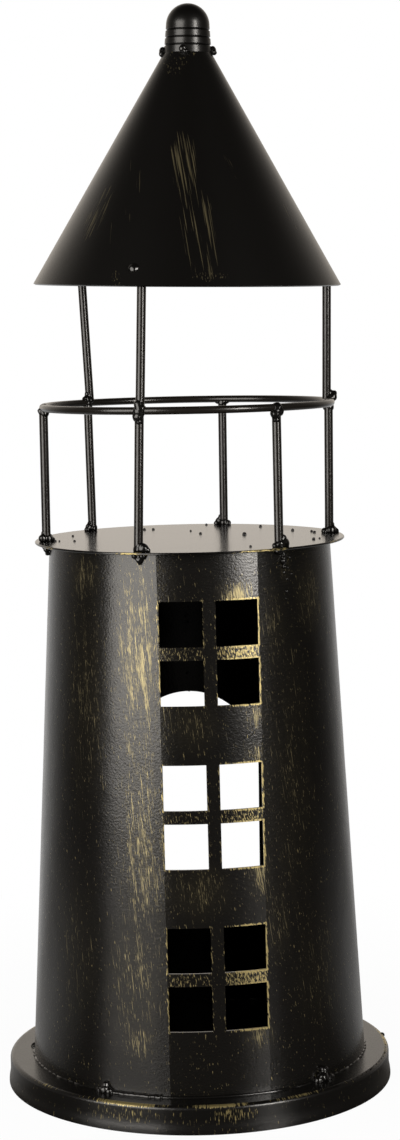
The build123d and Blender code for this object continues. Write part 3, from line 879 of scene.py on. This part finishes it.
POST_LUMPS = {
    "front_left": [(0.1, 0.5, 0.6, 2.6), (-0.4, 0.6, 2.6, 2.2), (0.3, 0.4, 4.8, 1.5)],
    "back_left": [(0.2, 0.0, 1.4, 2.3), (2.1, 0.0, 1.4, 2.0), (3.7, 0.0, 0.6, 1.3), (1.0, 0.0, 3.8, 1.6)],
    "right": [(-0.2, 1.0, 1.0, 2.4), (-0.4, 2.6, 1.8, 2.0), (-0.2, 3.4, 3.4, 1.3), (0.0, 1.2, 3.8, 1.6)],
}

ring_balls = joints_at("baluster_", True, post_circle, rail_middle, RING_LUMPS)
post_balls = joints_at("lantern_post_", False, post_circle, rail_middle, POST_LUMPS)
melt("rail_weld_metal", ring_balls, stands_for="rail_welds")
melt("lantern_post_weld_metal", post_balls, stands_for="lantern_post_welds")

# %% [markdown]
# ## Joints of the base and the roof
# At the foot the maker tacked the tower in a few places and drew one short bead to the left of the
# windows, which reads as a row of overlapping coins: one ball for every degree. At the top three small
# hooks of metal hold the cap, which leans with the roof, so its middle is read off the frame. Inside the
# roof a weld sits on the end of each post.

# %% Melt the welds of the base
FOOT_TACKS = {
    -100: [(0.0, 0.4, 0.0, 1.7), (1.8, 0.2, -0.2, 1.3), (-1.7, 0.6, -0.4, 1.1)],
    -40: [(-1.8, 0.8, 0.4, 1.9), (0.6, 1.0, 1.0, 2.4), (0.8, 0.6, 3.2, 1.5), (2.8, 0.8, 0.4, 1.7)],
    38: [(-3.6, 0.8, 0.4, 1.9), (-1.2, 1.4, 1.4, 2.6), (0.2, 0.8, 4.4, 1.9), (2.8, 0.9, 0.5, 2.2),
         (5.2, 0.8, 0.3, 1.3)],
    98: [(0.0, 0.8, 0.6, 2.3), (-1.6, 0.6, 1.8, 1.5), (1.8, 0.6, 0.4, 1.5)],
    152: [(0.0, 0.5, 0.3, 2.1), (2.0, 0.4, 0.3, 1.7)],
    -156: [(0.0, 0.5, 0.3, 2.1), (1.9, 0.5, 0.4, 1.8)],
}
BEAD_FROM, BEAD_TO = -40, -19
BEAD_LUMP = (0.0, 0.8, 0.3, 1.1)

base_balls = []
for angle, lumps in FOOT_TACKS.items():
    base_balls += lumps_at(tower_foot_radius, angle, base_top, lumps)
for angle in range(BEAD_FROM, BEAD_TO):
    base_balls += lumps_at(tower_foot_radius, angle, base_top, [BEAD_LUMP])
melt("foot_tack_metal", base_balls, low=base_top - BITE, stands_for="foot_tacks")

# %% Melt the hooks at the cap
CAP_HOOKS = {
    -97: [(0, 0.2, 0.4, 1.8), (0.9, 0.9, -1.0, 1.3)],
    -18: [(0, 0.3, 0.2, 1.7), (1.3, 0.6, -1.0, 1.2)],
    83: [(0, 0.2, 0.4, 1.8), (-0.8, 1.0, -0.8, 1.3)],
}
HOOK_RISE = 1.0

cap_low, cap_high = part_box("finial_cap")
cap_middle = (cap_low + cap_high) / 2 / MM
cap_radius = (cap_high.x - cap_low.x) / 2 / MM
to_cap = Vector((cap_middle.x, cap_middle.y, 0))
hooks = []
for angle, lumps in CAP_HOOKS.items():
    around_axis = lumps_at(cap_radius, angle, cap_low.z / MM + HOOK_RISE, lumps)
    hooks += [(centre + to_cap, size) for centre, size in around_axis]
melt("cap_weld_metal", hooks, stands_for="finial_welds")

# %% Melt the welds under the roof
ROOF_LUMPS = [(0.0, 0.0, 0.0, 1.9), (1.4, -0.6, -1.4, 1.5), (-1.3, -0.4, -1.0, 1.4)]
ROOF_WELD_IN, ROOF_WELD_DOWN = 2.6, 3.0

roof_balls = []
for place in POST_LUMPS:
    post = "lantern_post_" + place
    head = max((v.co for v in nodes[post].data.vertices), key=lambda p: p.z) / MM
    head_angle = angle_of(end_point(post, at_top=True))
    roof_balls += lumps_at(hypot(head.x, head.y) - ROOF_WELD_IN, head_angle, head.z - ROOF_WELD_DOWN,
                           ROOF_LUMPS)
melt("roof_post_weld_metal", roof_balls, stands_for="roof_post_welds")

# %% [markdown]
# ## Seams at the back
# The tower and the roof are sheets rolled until their edges meet, and a weld closes each at the back. A
# torch moves in small steps and weaves from side to side, so the bead is a row of overlapping scales. A
# ball is set every step along the solid bead's own line, left and right by turns and no deeper than the
# sheet, and the row is melted into one. The doorway interrupts the tower's bead: there the level line from
# outside misses the near wall.

# %% Run the seam beads
SEAM_STEP, SEAM_BALL, SEAM_SINK = 0.9, 0.85, 0.25
SEAM_WEAVE, SEAM_UNEVEN = 0.6, 0.12
FAR_OUT = 300
NEAR_WALL = 10


def wall_point(node, angle, height):
    """Point in mm where a level line from outside, at an angle, first meets a node."""
    start = polar(FAR_OUT, angle, height)
    inward = Vector((-start.x, -start.y, 0)).normalized()
    return nodes[node].ray_cast(start * MM, inward)[1] / MM


def seam_balls(node, wall):
    """Balls along a straight seam, from its lower to its upper end, where the wall behind it is whole."""
    foot, head = end_point(node, at_top=False), end_point(node, at_top=True)
    count = int((head - foot).length / SEAM_STEP)
    balls = []
    for i in range(1, count):
        on_line = foot.lerp(head, i / count)
        met = wall_point(wall, angle_of(on_line), on_line.z)
        if (met - on_line).length < NEAR_WALL:
            inward = Vector((-met.x, -met.y, 0)).normalized()
            aside = Vector((-inward.y, inward.x, 0)) * (SEAM_WEAVE if i % 2 else -SEAM_WEAVE)
            size = SEAM_BALL * (1 + SEAM_UNEVEN * noise.noise(on_line))
            balls.append((met + inward * SEAM_SINK + aside, size))
    return balls


melt("tower_seam_ripples", seam_balls("tower_seam_weld", "tower_shell"), low=base_top, high=tower_top,
     stands_for="tower_seam_weld")
melt("roof_seam_ripples", seam_balls("roof_seam_weld", "roof_cone"), stands_for="roof_seam_weld")

# %% [markdown]
# ## Spatter
# A welder throws beads of hot metal that freeze where they land, and the lacquer went over them. They lie
# about on the gallery plate, where each one shows as a black dot, run down the wall below the front right
# rod, and one sits on the base. Finer voxels keep a bead of half a millimetre round. On the roof the heat
# of a weld came through the sheet and raised a small bump: two balls that are mostly sunk in it.

# %% Scatter the spatter
# On the plate: angle, radius and size. On the wall: angle, way up from the plate, and size.
PLATE_SPATTER = [
    (99.8, 25.2, 0.95), (137.8, 56.1, 0.7), (109.7, 51.5, 0.75), (100.2, 56.7, 0.6), (94.9, 56.4, 0.7),
    (21.1, 54.1, 0.6), (155.6, 16.2, 0.7), (165.7, 61.1, 0.6), (-90.0, 58.7, 0.65), (-89.5, 57.0, 0.5),
    (-113.6, 54.0, 0.55), (-87.3, 50.6, 0.6), (-165.0, 44.0, 0.7), (-160.5, 46.0, 0.75),
    (172.0, 30.0, 0.5), (62.0, 57.0, 0.7), (66.0, 58.5, 0.5),
]
WALL_SPATTER = [
    (31.5, -3, 0.8), (33, -5, 0.95), (34.5, -8, 0.7), (32.5, -10, 0.75), (35.5, -4, 0.8),
    (36.5, -11, 0.55), (34, -13, 0.65), (30.5, -7, 0.5), (33.4, -18, 0.7), (32.8, -21, 0.5),
]
BASE_BEAD_ANGLE, BASE_BEAD_REACH, BASE_BEAD_DROP, BASE_BEAD = 92, 83.7, 1.0, 1.2
SPATTER_VOXEL = 0.16
SPATTER_RISE = 0.3

beads = [(polar(reach, angle, plate_top + SPATTER_RISE * size), size)
         for angle, reach, size in PLATE_SPATTER]
beads += [(wall_point("tower_shell", angle, tower_top + up), size) for angle, up, size in WALL_SPATTER]
beads.append((polar(BASE_BEAD_REACH, BASE_BEAD_ANGLE, base_top - BASE_BEAD_DROP), BASE_BEAD))
melt("weld_spatter", beads, voxel=SPATTER_VOXEL)

# %% Raise the bump on the roof
BURN_ANGLE, BURN_HEIGHT = -26.2, 357.5
BURN_SIZE, BURN_DEPTH = 2.6, 0.995
SIDE_BURN_SIZE, SIDE_BURN_DEPTH, SIDE_BURN_OFF = 2.0, 0.994, Vector((1.2, 0, -1.0))

burn_through = wall_point("roof_cone", BURN_ANGLE, BURN_HEIGHT)
melt("burn_through_bump", [(burn_through * BURN_DEPTH, BURN_SIZE),
                           (burn_through * SIDE_BURN_DEPTH + SIDE_BURN_OFF, SIDE_BURN_SIZE)])

# %% [markdown]
# ## The wet edge at the foot
# Where the tower meets the pan, lacquer ran into the corner and dried as a fine round edge, which draws a
# thin bright line. It is a thin tube along the tower's own foot, read from the mesh because the window
# strip isn't round. A curve with a bevel would do too, but rings of points let the thickness vary.

# %% Run lacquer into the corner
WET_EDGE, WET_UNEVEN, WET_WAVE = 0.8, 0.25, 9
EDGE_SIDES = 8

foot_reach = {}
for vertex in nodes["tower_shell"].data.vertices:
    point = vertex.co / MM
    if abs(point.z - base_top) < SAME_LEVEL:
        angle = round(angle_of(point))
        foot_reach[angle] = max(hypot(point.x, point.y), foot_reach.get(angle, 0.0))

edge_points = []
for angle, reach in sorted(foot_reach.items()):
    thickness = WET_EDGE * (1 + WET_UNEVEN * noise.noise(Vector((angle / WET_WAVE, 0, 0))))
    for side in range(EDGE_SIDES):
        out = thickness * cos(2 * pi * side / EDGE_SIDES)
        up = thickness * sin(2 * pi * side / EDGE_SIDES)
        edge_points.append(polar(reach + out, angle, base_top + up) * MM)

edge_faces = []
for ring in range(len(foot_reach)):
    here, there = ring * EDGE_SIDES, (ring + 1) % len(foot_reach) * EDGE_SIDES
    for side in range(EDGE_SIDES):
        after = (side + 1) % EDGE_SIDES
        edge_faces.append((here + side, here + after, there + after, there + side))
edge_mesh = bpy.data.meshes.new("foot_wet_edge")
edge_mesh.from_pydata(edge_points, [], edge_faces)
as_piece("foot_wet_edge", edge_mesh, finish=run_lacquer)
print("wet edge through", len(foot_reach), "points of the tower's foot")
